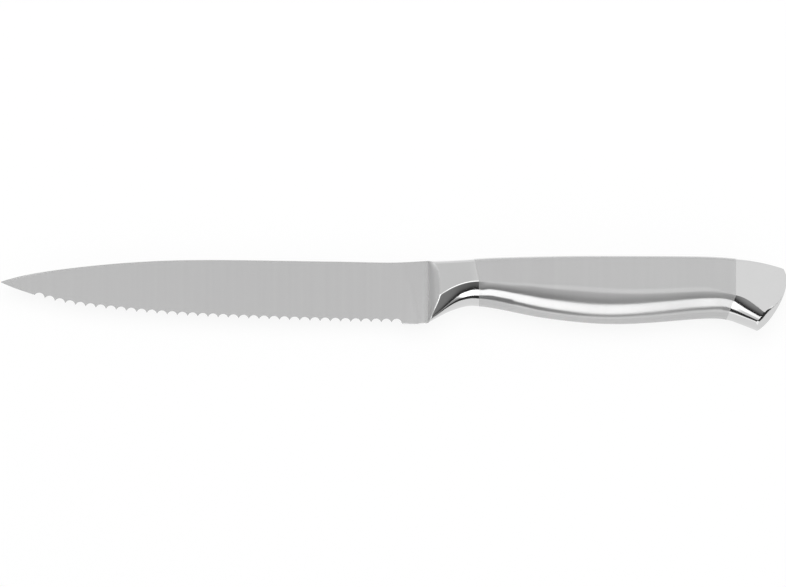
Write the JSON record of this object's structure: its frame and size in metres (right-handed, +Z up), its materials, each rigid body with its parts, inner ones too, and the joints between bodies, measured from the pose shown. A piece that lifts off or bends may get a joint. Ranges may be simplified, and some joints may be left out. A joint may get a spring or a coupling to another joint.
{
  "type": "serrated knife",
  "caption": "All-steel serrated kitchen knife with a scalloped blade, a polished bolster and end cap, and a satin hollow grip that lies flat on its side.",
  "frame": {"origin": "middle of the footprint of the knife lying on its right side, at the level of the surface it lies on", "axes": "+X from the blade's tip to the butt, +Y towards the spine, +Z up through the left face of the blade"},
  "size_m": [0.2398, 0.023, 0.016],
  "materials": {
    "blade_steel": "satin ground, fine scratches from spine to edge",
    "grip_steel": "satin brushed",
    "polished_steel": "mirror polished stainless steel",
    "pin_steel": "plain drawn bar",
    "filler_resin": "cast resin"
  },
  "bodies": {
    "root": {"blade": "blade_steel", "bolster": "polished_steel", "grip_shell_left": "grip_steel", "grip_shell_right": "grip_steel", "end_cap": "polished_steel", "tang_pin_front": "pin_steel", "tang_pin_rear": "pin_steel", "filler_core": "filler_resin"}
  },
  "joints": []
}
